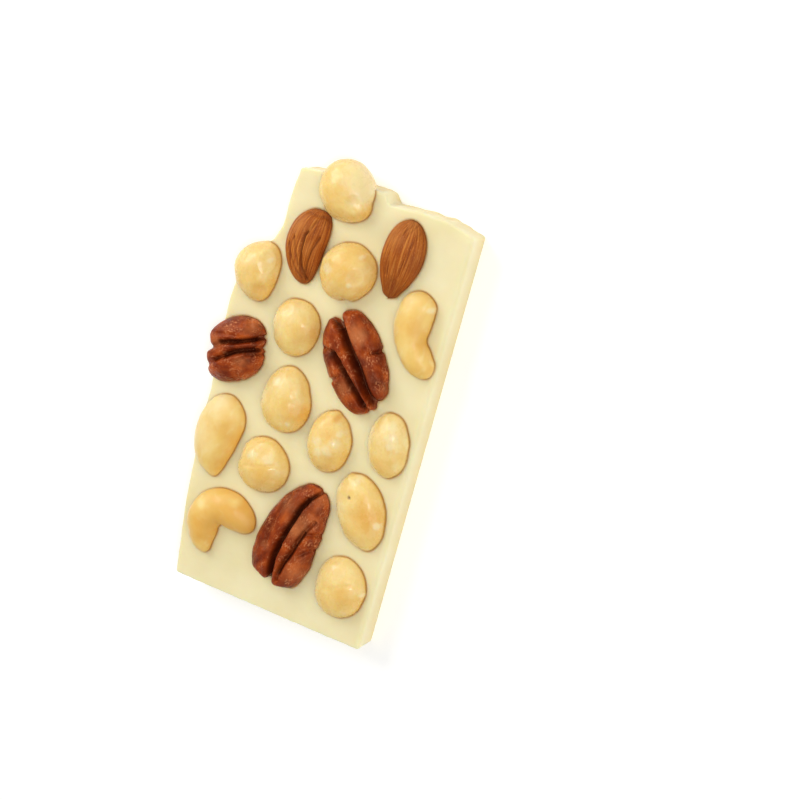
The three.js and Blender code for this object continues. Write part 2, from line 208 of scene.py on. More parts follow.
# A cashew's spine starts straight along heading, bends by turn between two shares of its length
# and ends straight. inner scales the width of its hollow side, and its ends are blunter the higher
# bluntness is.
CASHEWS = (
    dict(x=-9.3, y=105.5, heading=-98, turn=62, length=25.6, bend_from=0.25, bend_to=0.85,
         start_width=6.6, middle_width=4.8, end_width=4.6, bluntness=3.3, inner=1,
         film_and_highlight=((3.4, 4, 1.2), (-0.2, 5, 1)),
         tints=((12.3, 6, 2.4, -0.9), (10, 2, 3, -0.4), (3, -2, 3, 0.3)),
         dents=((6, -2, 3, 0.25), (2.6, 3.6, 1.6, -0.3), (11.6, 6.8, 2, 0.8),
                (17, 10.8, 1.6, -0.3))),
    dict(x=-57, y=57.5, heading=-105, turn=33, length=25.6, bend_from=0.34, bend_to=0.83,
         start_width=7, middle_width=8, end_width=4.4, bluntness=2.7, inner=1.05,
         tints=((15, -3.6, 6, 0.7), (3, -3.6, 5, 0.8), (10, 7.8, 4, -0.9), (18, 7.8, 3.6, -0.8)),
         dents=((4, 3, 3, -0.3), (9, -2, 4, 0.2))),
    dict(x=-41, y=22, heading=163, turn=115, length=28.4, bend_from=0.28, bend_to=0.72,
         start_width=6.4, middle_width=6.5, end_width=5.1, bluntness=2.7, inner=0.86,
         tints=((9, 2, 9, -0.8), (3.4, -3.4, 4.5, -0.9), (0.5, 0, 3.5, -0.9), (12, 9, 5, -0.7),
                (16.5, 2.5, 1.5, 1), (8, -4.6, 1.2, 1)),
         creases=((1.3, 0.6, ((8.3, 7), (8.2, 5.4))),),
         dents=((9, 5.4, 1.4, 0.3), (11, -1, 3, -0.2), (9.4, 14.4, 2, -0.7), (5, 3, 2, 0.2))),
)  # fmt: skip
CASHEW_HALF_HEIGHT = 5.4
CASHEW_CENTRE_HEIGHT = -0.2

# Pecan halves lie on their flat side, and skew slants their ends. Their lengthwise grooves are
# creases that run off the ends.
PECANS = (
    dict(x=-59.7, y=71.5, half_length=8.6, half_width=9.4, heading=20,
         head_power=0.29, tail_power=0.22, bow=0, skew=0.22, creep=0.1,
         creases=(
             (2.6, 0.7, ((-3.6, 2.7), (-1.3, 2.8), (1.9, 2.7), (6, 2.9), (8.7, 3.2), (12, 4))),
             (1.1, 0.8, ((-10, 0.8), (-7.3, 1.4), (-3.6, 2.3))),
             (0.5, 0.9, ((-9, -4), (-5.6, -2.4))),
             (1.7, 0.7, ((-5.6, -2.4), (-2.4, -1.3))),
             (2.8, 0.85, ((-2.4, -1.3), (0.4, -0.4), (3.1, -0.1), (6.3, -0.2), (12, 0.4))),
             (1.3, 0.6, ((4.6, -1.3), (7.8, -1.5), (12, -1.4))),
             (0.5, 0.7, ((3.3, -2.3), (1.8, -3.7), (0.6, -5.8), (0.1, -8.6))),
             (0.35, 0.6, ((5.2, 8.4), (6.4, 6.1), (8.6, 5.2))),
             (0.3, 0.5, ((-4.5, 5.2), (-0.4, 4.8), (2.7, 4))),
         ),
         tints=((6.9, 7.2, 2.5, 0.7), (2.4, -3.4, 2, 0.5), (-5, 2.9, 2, 0.6), (-2, 6.4, 3, -0.4),
                (-3, -6.8, 2.5, -0.6), (9.5, 7.5, 2, -0.6)),
         dents=((-8.4, 2.5, 1.5, 0.8), (-6.8, 5.4, 1.8, -0.6), (3, 7, 3, -0.3),
                (-3, -6, 2.5, -0.3))),
    dict(x=-23.6, y=80.1, half_length=14.4, half_width=9.1, heading=-55,
         head_power=0.36, tail_power=0.34, bow=0, skew=-0.1, creep=0.1,
         creases=(
             (4.4, 1.35, ((-17, -0.9), (-14, -0.4), (-11.8, 0.1))),
             (3.8, 1.1, ((-11.8, 0.2), (-9.6, 0.8), (-4.5, 1.2), (0.1, 1.9), (4.5, 2.2),
                         (8.9, 2.1))),
             (3.8, 1.15, ((8.9, 2.1), (11.6, 2.4), (13.2, 3), (17, 5))),
             (3.1, 0.9, ((-4.3, -4.6), (-2.2, -3.7), (1, -2.7), (4.5, -1.9), (8, -1.2),
                         (12.2, -0.4))),
             (2.6, 1.2, ((-3.9, -4.5), (-1.4, -3.5))),
             (1.9, 0.7, ((12.2, -0.4), (17, 0))),
             (0.9, 0.8, ((-6.6, -7.2), (-5.8, -6), (-4.3, -4.6))),
             (1.3, 0.65, ((-1.5, 11.4), (-0.8, 8.9), (-1.1, 7))),
             (0.5, 0.7, ((-1.1, 7), (-2.5, 5.5))),
             (0.8, 0.65, ((2.7, -8.6), (2.6, -6), (2.1, -4))),
             (0.4, 0.7, ((12, 9.6), (8.5, 7.3), (7.8, 4.8))),
             (0.3, 0.6, ((-9.2, 4), (-6.2, 4.6), (-4.2, 3.6))),
         ),
         tints=((-7, 5.2, 3, 1), (10, 8, 1.8, 0.5), (6, -4.3, 2.2, 0.5), (1, 3.4, 2.4, -1),
                (5.7, 3.9, 2, -0.9), (-8.3, 10, 3, -0.9), (-3.7, -5.6, 2, -1), (1, 10, 3, -0.6),
                (-3.3, 8.4, 2.2, -0.6)),
         dents=((13.3, 5, 1.6, 0.7), (-9, 4.5, 2.6, -0.4), (6, 5.5, 3, -0.4), (8, -4.5, 2, -0.3))),
    dict(x=-27.8, y=25.9, half_length=16.1, half_width=9.2, heading=77,
         head_power=0.41, tail_power=0.22, bow=1, skew=0, creep=0.1,
         creases=(
             (2, 0.7, ((18.4, -2.8), (14.8, -1), (12.2, 0.3))),
             (3, 0.85, ((12.2, 0.3), (9.1, 1.2), (5.7, 1.3), (1, 1.6), (-3.6, 1.7))),
             (3.4, 1, ((-3.6, 1.7), (-7.8, 1.5), (-11.7, 0.7), (-18, -1))),
             (1.3, 0.7, ((7.4, -4.6), (3.2, -3.5))),
             (2.6, 0.75, ((3.2, -3.5), (-0.6, -3.1), (-4.3, -2.9), (-8, -2.3), (-11.5, -2.2))),
             (1.2, 0.55, ((-11.5, -2.2), (-13.6, -2.6))),
             (0.9, 0.8, ((9.8, 6.3), (5, 6.9), (0.5, 6.9), (-3.7, 6.5), (-7.1, 5.5))),
             (0.9, 0.7, ((4.5, -9.6), (4.2, -7.4), (3.4, -4.8))),
             (0.9, 0.65, ((-0.3, -9.6), (-1, -7.2), (-3.6, -5.1))),
             (0.35, 0.7, ((10.5, -8), (8.6, -5.2), (9.6, -2.6))),
         ),
         tints=((14.6, -3, 2.5, 0.5), (3, -1, 2.6, 0.8), (-8.5, -6.5, 3.5, 0.5), (7.4, 5, 3, 0.4),
                (8, -3.1, 2.4, 0.4), (-6.4, 5.4, 1.6, 0.5), (-1.5, 8.4, 3.5, -0.8),
                (-11.5, 7.2, 3, -0.6), (1.3, -7, 2, -0.6)),
         dents=((-15.4, 6.4, 1.8, -0.6), (-15, -1.4, 1.2, -0.4), (-9, -5.5, 3, -0.3),
                (12, -3, 2, -0.3))),
)  # fmt: skip
PECAN_RISE = 5.6
PECAN_SINK = 3
PECAN_DOME_POWER = 0.8
PECAN_BASE_POWER = 0.5
PECAN_END_POWER = 0.7

# Rings from end to end, and points round each ring.
MACADAMIA_MESH = (80, 140)
ALMOND_MESH = (120, 200)
CASHEW_MESH = (110, 120)
PECAN_MESH = (160, 240)
SPINE_STEPS = 400

# Relief of the skins: (depth, size, how much longer it is along the kernel than across). Each nut
# of a kind starts this many seeds after the one before.
SEEDS_A_NUT = 7
MACADAMIA_RELIEF = ((0.3, 4.8, 1), (0.1, 2.4, 1))
CASHEW_RELIEF = ((0.26, 6, 1.3), (0.09, 2.6, 1))
ALMOND_RELIEF = ((0.15, 4, 1.5), (0.03, 1, 2))
PECAN_RELIEF = ((0.32, 3.4, 1.3), (0.12, 1.4, 2), (0.05, 0.6, 1))
RIDGE_SIZE = 0.6
RIDGE_LENGTH = 11
# How sharply a crease is cut, and the heights between which creases and dents come in.
CREASE_SHARPNESS = 2.6
CREASE_FADE = (-1, 1.5)
DENT_FADE = (-3, -0.5)
# How much of what stands out beyond a flat's plane is shaved off.
SHAVED_SHARE = 0.85
# A patch of film or a spot fades between two shares of its radius.
PATCH_FADE = (0.2, 1.3)
FILM_THICKNESS = 0.12
# Film also creeps along the pushed side of a nut, this far above and below the face, and it is in
# full over the first part of that reach.
CREEP_LEAST = 0.15
CREEP_MOST = 4
CREEP_IN_FULL = 0.35
CREEP_FALL = 1.5
# Elsewhere painted shade darkens a nut at its foot, in full up to the first of these heights and
# not at all above the second.
FOOT_SHADE_FADE = (0.1, 0.8)
# Ragged edges, in layers of (amount, size, seed).
PATCH_EDGE = ((0.3, 2, 5), (0.1, 0.8, 6))
TINT_EDGE = ((0.35, 2.5, 7), (0.15, 0.9, 8))
CREEP_EDGE = ((0.45, 3, 9), (0.2, 1, 10))

# Colours that all the smooth kernels share.
# The foot colour is painted shade at a kernel's foot.
KERNEL_FOOT_SHADE = (178, 112, 22)
# The film colour also paints some highlights.
KERNEL_FILM_AND_HIGHLIGHT = (246, 230, 182)
# The fleck colour is partly painted glints.
KERNEL_FLECKS_AND_GLINTS = (251, 232, 176)
KERNEL_PALE = (249, 228, 174)
KERNEL_DEEP = (232, 174, 74)
KERNEL_SPOT = (104, 62, 18)

# The camera, in the slab's coordinates, and the photographed view.
CAMERA_PLACE = Vector((164.19, 208.48, 479.17))
CAMERA_TARGET = Vector((-8.1, 74.3, 0))
CAMERA_UP = Vector((-0.3355, 0.9316, -0.1402))
CAMERA_LENS = 85
CAMERA_SENSOR = 36

# The stage, in metres and watts. A light is (name, place, size, power, colour), and it faces the
# middle of the piece.
FLOOR_REACH = 3
WORLD_STRENGTH = 0.41
LIGHTS = (
    ("key", (-0.5, 0.34, 0.42), 0.5, 2.9, (1, 0.985, 0.96)),
    ("top", (0.42, 0.14, 0.8), 0.28, 2.2, (1, 1, 1)),
    ("right", (0.5, -0.1, 0.4), 0.4, 0.7, (1, 1, 1)),
)


def slab_corner():
    """Where the slab's own coordinates start, in the frame: its corner, on the face."""
    lowest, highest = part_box("chocolate_slab")
    return Vector((highest.x, lowest.y, highest.z))


CORNER = slab_corner()


def smooth_step(low, high, value):
    """Goes smoothly from 0 at low to 1 at high."""
    share = np.clip((value - low) / (high - low), 0, 1)
    return share * share * (3 - 2 * share)


def waves(points, size, seed=0, longer=1):
    """Smooth noise from about -1 to 1, with features size mm wide and longer along x."""
    scaled = points / (size * np.array([longer, 1, 1])) + SEED_SHIFT * (seed + 1)
    return np.array([noise.noise(point) for point in scaled.tolist()])


def ragged(points, layers):
    """Noise in layers of (amount, size, seed)."""
    return sum(amount * waves(points, size, seed) for amount, size, seed in layers)


def closed_points(mesh_size, point_at):
    """Points of a closed surface, pole first and last. point_at takes the share of the way
    between the poles and the angle round the body, and gives along, across and height."""
    rings, sides = mesh_size
    share = np.linspace(0, 1, rings + 1)[1:-1, None]
    angle = np.linspace(0, 2 * np.pi, sides, endpoint=False)[None, :]
    body = np.stack(np.broadcast_arrays(*point_at(share, angle)), -1).reshape(-1, 3)
    zero = np.zeros((1, 1))
    first = np.stack(np.broadcast_arrays(*point_at(zero, zero)), -1).reshape(1, 3)
    last = np.stack(np.broadcast_arrays(*point_at(zero + 1, zero)), -1).reshape(1, 3)
    return np.concatenate([first, body, last])


def closed_faces(mesh_size):
    """The faces that join those points: triangles at the poles and squares between the rings."""
    rings, sides = mesh_size
    side = np.arange(sides)
    following = (side + 1) % sides
    last_ring = 1 + sides * (rings - 2)
    last_pole = last_ring + sides
    faces = np.stack([0 * side, 1 + side, 1 + following], -1).tolist()
    for ring in range(rings - 2):
        near = 1 + sides * ring
        far = near + sides
        corners = [near + side, far + side, far + following, near + following]
        faces += np.stack(corners, -1).tolist()
    faces += np.stack([last_ring + side, 0 * side + last_pole, last_ring + following], -1).tolist()
    return faces


def tapered_profile(place, head_power, tail_power):
    """A kernel's half width, as a share of its greatest, from its tail (-1) to its head (1)."""
    widest = (tail_power - head_power) / (tail_power + head_power)
    peak = (1 - widest) ** head_power * (1 + widest) ** tail_power
    return np.clip(1 - place, 0, 2) ** head_power * np.clip(1 + place, 0, 2) ** tail_power / peak


def macadamia_point(kernel, share, angle):
    half_height = (kernel["rise"] + MACADAMIA_SINK) / 2
    centre_height = (kernel["rise"] - MACADAMIA_SINK) / 2
    spread = np.sin(np.pi * share) ** MACADAMIA_SQUARENESS
    lobes = np.cos(3 * (angle - math.radians(kernel["corner_at"])))
    outline = spread * (1 + kernel["corner"] * lobes)
    along = kernel["half_length"] * outline * np.cos(angle)
    across = kernel["half_width"] * outline * np.sin(angle)
    return along, across, centre_height + half_height * np.cos(np.pi * share)


def almond_point(kernel, share, angle):
    place = np.cos(np.pi * share)
    size = tapered_profile(place, kernel["tip_power"], kernel["back_power"])
    across = kernel["half_width"] * size * np.cos(angle) + kernel["bow"] * (1 - place * place)
    height = ALMOND_CENTRE_HEIGHT + ALMOND_HALF_HEIGHT * size * np.sin(angle)
    return kernel["half_length"] * place, across, height


def almond_skin(kernel, share, angle):
    """Skin places on a straight tube, whose lengthwise lines all run from tip to tip."""
    along = kernel["half_length"] * np.cos(np.pi * share)
    radius = kernel["half_width"]
    return along, radius * np.cos(angle), radius * np.sin(angle)


def cashew_point(kernel, share, angle):
    place = np.cos(np.pi * share)
    along_spine = (place + 1) / 2
    steps = np.linspace(0, 1, SPINE_STEPS + 1)
    bend = (steps - kernel["bend_from"]) / (kernel["bend_to"] - kernel["bend_from"])
    headings = math.radians(kernel["turn"]) * np.clip(bend, 0, 1)
    middle = (headings[1:] + headings[:-1]) / 2
    step_length = kernel["length"] / SPINE_STEPS
    spine_x = np.concatenate([[0], np.cumsum(np.cos(middle))]) * step_length
    spine_y = np.concatenate([[0], np.cumsum(np.sin(middle))]) * step_length
    heading = np.interp(along_spine, steps, headings)
    widths = (kernel["start_width"], kernel["middle_width"], kernel["end_width"])
    width = (
        widths[0] * (1 - along_spine) ** 2
        + widths[1] * 2 * along_spine * (1 - along_spine)
        + widths[2] * along_spine**2
    )
    cap = np.sqrt(np.clip(1 - np.abs(place) ** kernel["bluntness"], 0, 1))
    across = width * cap * np.cos(angle)
    across = np.where(across > 0, across * kernel["inner"], across)
    height = CASHEW_HALF_HEIGHT * cap * np.sqrt(width / max(widths)) * np.sin(angle)
    x = np.interp(along_spine, steps, spine_x) - across * np.sin(heading)
    y = np.interp(along_spine, steps, spine_y) + across * np.cos(heading)
    return x, y, CASHEW_CENTRE_HEIGHT + height


def pecan_point(kernel, share, angle):
    place = np.cos(np.pi * share)
    size = tapered_profile(place, kernel["head_power"], kernel["tail_power"])
    side = np.cos(angle)
    lift = np.sin(angle)
    across = kernel["half_width"] * size * side + kernel["bow"] * (1 - place * place)
    along = kernel["half_length"] * place + kernel["skew"] * across
    fall = size**PECAN_END_POWER
    above = np.clip(lift, 0, 1)
    below = np.clip(-lift, 0, 1)
    dome = PECAN_RISE * fall * above**PECAN_DOME_POWER
    height = np.where(lift > 0, dome, -PECAN_SINK * fall * below**PECAN_BASE_POWER)
    return along, across, height


def patches(points, spots):
    """How far each point of a nut's upper side lies in a patch: 1 in the middle, 0 outside."""
    inside = np.zeros(len(points))
    edge = ragged(points, PATCH_EDGE)
    for along, across, radius in spots:
        distance = np.hypot(points[:, 0] - along, points[:, 1] - across) / radius + edge
        inside = np.maximum(inside, 1 - smooth_step(*PATCH_FADE, distance))
    return inside * (points[:, 2] > 0)


def tint_at(points, tints):
    """How much paler each point of a nut's skin is, from -1 to 1: partly its own tone, and partly
    painted highlight and shade.
    """
    amount = np.zeros(len(points))
    warp = 1 + ragged(points, TINT_EDGE)
    for along, across, radius, strength in tints:
        distance = np.hypot(points[:, 0] - along, points[:, 1] - across) * warp
        amount += strength * np.exp(-((distance / radius) ** 2))
    return np.clip(amount, -1, 1)


def crease_depth(points, creases):
    """How deep each point of a nut's upper side is pressed in by its creases."""
    pressed = np.zeros(len(points))
    for depth, width, path in creases:
        nearest = np.full(len(points), np.inf)
        for start, end in zip(path, path[1:]):
            leg = np.subtract(end, start)
            offset = points[:, :2] - start
            share = np.clip(offset @ leg / (leg @ leg), 0, 1)[:, None]
            nearest = np.minimum(nearest, np.linalg.norm(offset - share * leg, axis=1))
        groove = depth * np.exp(-((nearest / width) ** CREASE_SHARPNESS))
        pressed = np.maximum(pressed, groove)
    return pressed * smooth_step(*CREASE_FADE, points[:, 2])


def dent_depth(points, dents):
    """How deep each point is pressed in by the dents. A depth below 0 is a bulge."""
    pressed = np.zeros(len(points))
    for along, across, radius, depth in dents:
        distance = np.hypot(points[:, 0] - along, points[:, 1] - across)
        pressed += depth * np.exp(-((distance / radius) ** 2))
    return pressed * smooth_step(*DENT_FADE, points[:, 2])


def shave(points, flats):
    """Presses the points beyond each flat's plane most of the way onto it."""
    for bearing, tilt, depth in flats:
        bearing = math.radians(bearing)
        tilt = math.radians(tilt)
        sideways = math.sin(tilt)
        outward = np.array(
            [sideways * math.cos(bearing), sideways * math.sin(bearing), math.cos(tilt)]
        )
        reach = points @ outward
        beyond = np.clip(reach - (reach.max() - depth), 0, None)
        points = points - SHAVED_SHARE * beyond[:, None] * outward
    return points


def film_creep(kernel, points, normals):
    """Where chocolate has crept along the foot of the nut's pushed side, from 0 to 1."""
    bearing = np.arctan2(normals[:, 1], normals[:, 0]) + math.radians(kernel["heading"])
    pushed = np.clip(np.cos(bearing - math.radians(PUSHED_TOWARDS)), 0, 1) ** CREEP_FALL
    reach = CREEP_LEAST + CREEP_MOST * pushed * kernel.get("creep", 1)
    reach = reach * (1 + ragged(points, CREEP_EDGE))
    near = 1 - smooth_step(CREEP_IN_FULL * reach, reach, np.abs(points[:, 2]))
    return near * smooth_step(0, 0.1, pushed)


def relief(kernel, points, layers, seed):
    """How far each point of a skin stands out, from its layers, dents and creases."""
    raised = np.zeros(len(points))
    for number, (depth, size, longer) in enumerate(layers):
        raised += depth * waves(points, size, seed=seed + number, longer=longer)
    raised -= dent_depth(points, kernel.get("dents", ()))
    raised -= crease_depth(points, kernel.get("creases", ()))
    return raised


def make_mesh(name, points, faces):
    mesh = bpy.data.meshes.new(name)
    mesh.from_pydata((points * MM).tolist(), [], faces)
    mesh.validate()
    mesh.shade_smooth()
    mesh.update()
    return mesh


def push_out(mesh, distance):
    """Moves each vertex along its normal by its distance in mm. Returns the places and normals."""
    count = len(mesh.vertices)
    places = np.empty(count * 3)
    normals = np.empty(count * 3)
    mesh.vertices.foreach_get("co", places)
    mesh.vertex_normals.foreach_get("vector", normals)
    normals = normals.reshape(-1, 3)
    places = places.reshape(-1, 3) + normals * distance[:, None] * MM
    mesh.vertices.foreach_set("co", places.ravel())
    mesh.update()
    return places / MM, normals


def set_attribute(mesh, name, values):
    attribute = mesh.attributes.new(name, "FLOAT", "POINT")
    attribute.data.foreach_set("value", values.astype(np.float32))


def put_on_slab(mesh, points, skin, x=0, y=0, heading=0):
    """Keeps each vertex's place on the skin for the grain, and moves the vertices into the frame.
    Returns the points in the slab's coordinates."""
    attribute = mesh.attributes.new("skin_place", "FLOAT_VECTOR", "POINT")
    attribute.data.foreach_set("vector", skin.astype(np.float32).ravel())
    turn = np.array(Matrix.Rotation(math.radians(heading), 3, "Z"))
    on_slab = points @ turn.T + (x, y, 0)
    mesh.vertices.foreach_set("co", (np.array(CORNER) + on_slab * MM).ravel())
    mesh.update()
    return on_slab


def add_piece(name, mesh, material, node):
    mesh.materials.append(material)
    piece = bpy.data.objects.new(name, mesh)
    bpy.context.scene.collection.objects.link(piece)
    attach(piece, "root")
    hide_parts(node)


def add_nuts(kind, kernels, mesh_size, point_at, layers, material, seed, skin_at=None):
    """Makes the nuts of one kind, and returns each one's surface in the slab's coordinates."""
    surfaces = []
    faces = closed_faces(mesh_size)
    outline = rounded_outline()
    for number, kernel in enumerate(kernels, 1):
        points = closed_points(mesh_size, lambda share, angle: point_at(kernel, share, angle))
        points = shave(points, kernel.get("flats", ()))
        skin = points
        if skin_at:
            skin = closed_points(mesh_size, lambda share, angle: skin_at(kernel, share, angle))
        mesh = make_mesh(f"{kind}_skin_{number:02d}", points, faces)
        film_and_highlight = patches(points, kernel.get("film_and_highlight", ()))
        raised = relief(kernel, points, layers, seed + SEEDS_A_NUT * number)
        if "ridges" in kernel:
            raised += kernel["ridges"] * waves(skin, RIDGE_SIZE, seed, RIDGE_LENGTH / RIDGE_SIZE)
        points, normals = push_out(mesh, raised + FILM_THICKNESS * film_and_highlight)
        creep = film_creep(kernel, points, normals)
        set_attribute(mesh, "film_and_highlight", np.maximum(film_and_highlight, creep))
        set_attribute(mesh, "spot", patches(points, kernel.get("spots", ())))
        set_attribute(mesh, "tint", tint_at(points, kernel.get("tints", ())))
        set_attribute(mesh, "groove", crease_depth(points, kernel.get("creases", ())))
        on_slab = put_on_slab(mesh, points, skin, kernel["x"], kernel["y"], kernel["heading"])
        # Painted shade at the nut's foot, where no chocolate creeps up.
        foot = (1 - smooth_step(*FOOT_SHADE_FADE, np.abs(points[:, 2]))) * (1 - creep)
        set_attribute(mesh, "foot", foot * inside_ring(on_slab, outline))
        surfaces.append((on_slab, faces))
        node = f"{kind}_{number:02d}"
        add_piece(f"{node}_kernel", mesh, material, node)
    return surfaces


def rounded_outline():
    """The slab's outline with short curves at its corners, as evenly spaced points."""
    corners = [np.array(corner, float) for corner in SLAB_CORNERS]
    points = []
    for index, corner in enumerate(corners):
        legs = (corners[index - 1] - corner, corners[(index + 1) % len(corners)] - corner)
        start, end = (corner + leg / np.linalg.norm(leg) * CORNER_REACH for leg in legs)
        for share in np.linspace(0, 1, CORNER_POINTS):
            rest = 1 - share
            points.append(start * rest**2 + corner * 2 * share * rest + end * share**2)
    points = np.array(points + [points[0]])
    travelled = np.concatenate([[0], np.cumsum(np.linalg.norm(np.diff(points, axis=0), axis=1))])
    count = round(travelled[-1] / OUTLINE_STEP)
    even = np.linspace(0, travelled[-1], count, endpoint=False)
    return np.stack([np.interp(even, travelled, points[:, axis]) for axis in range(2)], -1)


def slab_rings():
    """Rings of points from the slab's foot up to the rim of its face."""
    outline = rounded_outline()
    direction = np.roll(outline, -2, axis=0) - np.roll(outline, 2, axis=0)
    direction /= np.linalg.norm(direction, axis=1)[:, None]
    inward = np.stack([-direction[:, 1], direction[:, 0]], -1)
    broken = smooth_step(BREAK_BEGINS, BREAK_IN_FULL, -outline[:, 0])
    from_end = np.minimum(outline[:, 1], SLAB_CORNERS[1][1] - outline[:, 1])
    straight = (1 - broken) * smooth_step(0, STRAIGHT_EDGE_ENDS, from_end)
    radius = BROKEN_EDGE_RADIUS + (STRAIGHT_EDGE_RADIUS - BROKEN_EDGE_RADIUS) * straight
    layers = [(0 * radius - SLAB_THICKNESS, 0 * radius + FOOT_EDGE_RADIUS)]
    foot = -SLAB_THICKNESS + FOOT_EDGE_RADIUS
    for step in range(SIDE_STEPS + 1):
        layers.append((foot + (-radius - foot) * step / SIDE_STEPS, 0 * radius))
    for step in range(1, EDGE_STEPS + 1):
        angle = math.pi / 2 * step / EDGE_STEPS
        layers.append((radius * (math.sin(angle) - 1), radius * (1 - math.cos(angle))))
    rings = []
    for height, inset in layers:
        points = np.stack([outline[:, 0], outline[:, 1], height], -1)
        chips = ragged(points, BREAK_RELIEF)
        chips *= RIM_CALM + (1 - RIM_CALM) * smooth_step(0, RIM_CALM_DEPTH, -height)
        points[:, :2] += inward * (inset + chips * broken)[:, None]
        rings.append(points)
    return rings


def inside_ring(points, ring):
    """Whether each point lies inside the ring, by counting the edges to one side of it."""
    inside = np.zeros(len(points), bool)
    for (x0, y0), (x1, y1) in zip(ring, np.roll(ring, -1, axis=0)):
        spans = (y0 > points[:, 1]) != (y1 > points[:, 1])
        crossing = x0 + (points[:, 1] - y0) / (y1 - y0 + 1e-12) * (x1 - x0)
        inside ^= spans & (points[:, 0] < crossing)
    return inside


def face_points(rim, nuts):
    """Points of the face inside its rim, in even triangles that are finer along the nuts."""
    low, high = rim.min(0), rim.max(0)
    rows = np.arange(low[1], high[1], FACE_STEP * math.sqrt(0.75))
    columns = np.arange(low[0], high[0], FACE_STEP)
    row, column = np.meshgrid(np.arange(len(rows)), np.arange(len(columns)), indexing="ij")
    x = columns[column] + 0.5 * FACE_STEP * (row % 2)
    points = np.stack([x, rows[row]], -1).reshape(-1, 2)
    sparse = ((row % 2 == 0) & (column % 2 == 0)).ravel()
    kept = inside_ring(points, rim)
    points, sparse = points[kept], sparse[kept]
    gap, _ = nut_gap(points, nuts)
    kept = sparse | (np.abs(gap) < NEAR_NUT)
    points = points[kept]
    tree = KDTree(len(rim))
    for index, place in enumerate(rim):
        tree.insert((*place, 0), index)
    tree.balance()
    from_rim = np.array([tree.find((*point, 0))[2] for point in points])
    return points[from_rim > RIM_GAP]


def nut_gap(points, nuts):
    """The distance from each point of the face to the nearest nut, below 0 inside it, and the
    bearing of the point from the nut."""
    gap = np.empty(len(points))
    bearing = np.empty(len(points))
    for index, (x, y) in enumerate(points.tolist()):
        _, normal, _, distance = nuts.find_nearest((x, y, 0))
        covered = distance < DEEPEST_NUT and nuts.ray_cast((x, y, 0), (0, 0, 1))[0] is not None
        gap[index] = -distance if covered else distance
        bearing[index] = math.atan2(normal.y, normal.x)
    return gap, bearing


def all_nuts(surfaces):
    """The nuts' surfaces as one tree that finds the nearest nut."""
    corners = np.concatenate([points for points, _ in surfaces])
    starts = np.cumsum([0] + [len(points) for points, _ in surfaces])
    polygons = [
        [start + corner for corner in face]
        for start, (_, faces) in zip(starts.tolist(), surfaces)
        for face in faces
    ]
    return BVHTree.FromPolygons(corners.tolist(), polygons)


def flat_slab(nuts):
    """The points and faces of the slab, its face still flat: its sides, face and underside."""
    rings = slab_rings()
    sides = len(rings[0])
    rim = rings[-1][:, :2]
    inner = face_points(rim, nuts)
    flat = [Vector(point) for point in np.concatenate([rim, inner]).tolist()]
    edges = [(side, (side + 1) % sides) for side in range(sides)]
    plan, _, triangles, *_ = delaunay_2d_cdt(flat, edges, [], 1, 1e-6)
    face = np.array([[*place, 0] for place in plan])
    face[:sides, 2] = rings[-1][:, 2]
    below = np.concatenate(rings[:-1])
    points = np.concatenate([below, face])
    rim_start = len(below)
    faces = [[rim_start + corner for corner in triangle] for triangle in triangles]
    side = np.arange(sides)
    following = (side + 1) % sides
    for ring in range(len(rings) - 1):
        near, far = sides * ring, sides * (ring + 1)
        corners = [near + side, near + following, far + following, far + side]
        faces += np.stack(corners, -1).tolist()
    faces.append(side[::-1].tolist())
    return points, faces


def shape_face(points, nuts):
    """Gives the face its waves and its rise at the nuts. Returns how close each point is to a nut,
    and
    how far it is in a crevice: the masks of the painted shade near the nuts and in the crevices."""
    gap, bearing = nut_gap(points[:, :2], nuts)
    pushed = np.clip(np.cos(bearing - math.radians(PUSHED_TOWARDS)), 0, 1)
    ripple = 1 + RISE_RIPPLE * waves(points, RISE_RIPPLE_SIZE, 3)
    rise = (RISE_LEAST + (RISE_MOST - RISE_LEAST) * pushed) * ripple
    outside = np.clip(gap, 0, None)
    height = rise * np.exp(-outside / RISE_REACH)
    height -= CREVICE_DEPTH * (1 - pushed) * np.exp(-((gap / CREVICE_WIDTH) ** 2))
    height += UNDER_NUT_SLOPE * np.clip(gap + CREVICE_WIDTH, None, 0)
    height += FACE_WAVE * waves(points, FACE_WAVE_SIZE, 4)
    height += FACE_RIPPLE * waves(points, FACE_RIPPLE_SIZE, 6)
    on_face = smooth_step(-EDGE_BLEND, 0, points[:, 2])
    points[:, 2] += np.clip(height, -UNDER_NUT_DEPTH, None) * on_face
    # The mask of the painted shade in the crevice, on the side the nut was not pushed towards.
    crevice_shade = (1 - pushed) * np.exp(-((gap / CREVICE_SHADE_WIDTH) ** 2)) * on_face
    return np.exp(-outside / NUT_SHADE_REACH), crevice_shade


def add_slab(surfaces, material):
    nuts = all_nuts(surfaces)
    points, faces = flat_slab(nuts)
    nut_shade_closeness, crevice_shade = shape_face(points, nuts)
    mesh = make_mesh("chocolate_body", points, faces)
    set_attribute(mesh, "nut_shade_closeness", nut_shade_closeness)
    set_attribute(mesh, "crevice_shade", crevice_shade)
    put_on_slab(mesh, points, points)
    add_piece("chocolate_body", mesh, material, "chocolate_slab")


def srgb(red, green, blue):
    """A colour as it is seen on a screen, from 0 to 255, made linear for the shaders."""
    shares = (red / 255, green / 255, blue / 255)
    return tuple(s / 12.92 if s <= 0.04045 else ((s + 0.055) / 1.055) ** 2.4 for s in shares) + (1,)


def add_node(tree, kind, inputs=None, **settings):
    """Adds a node. An input is a plain value, or an output of another node to link it to."""
    node = tree.nodes.new(kind)
    for name, value in settings.items():
        setattr(node, name, value)
    for name, value in (inputs or {}).items():
        if isinstance(value, bpy.types.NodeSocket):
            tree.links.new(value, node.inputs[name])
        else:
            node.inputs[name].default_value = value
    return node


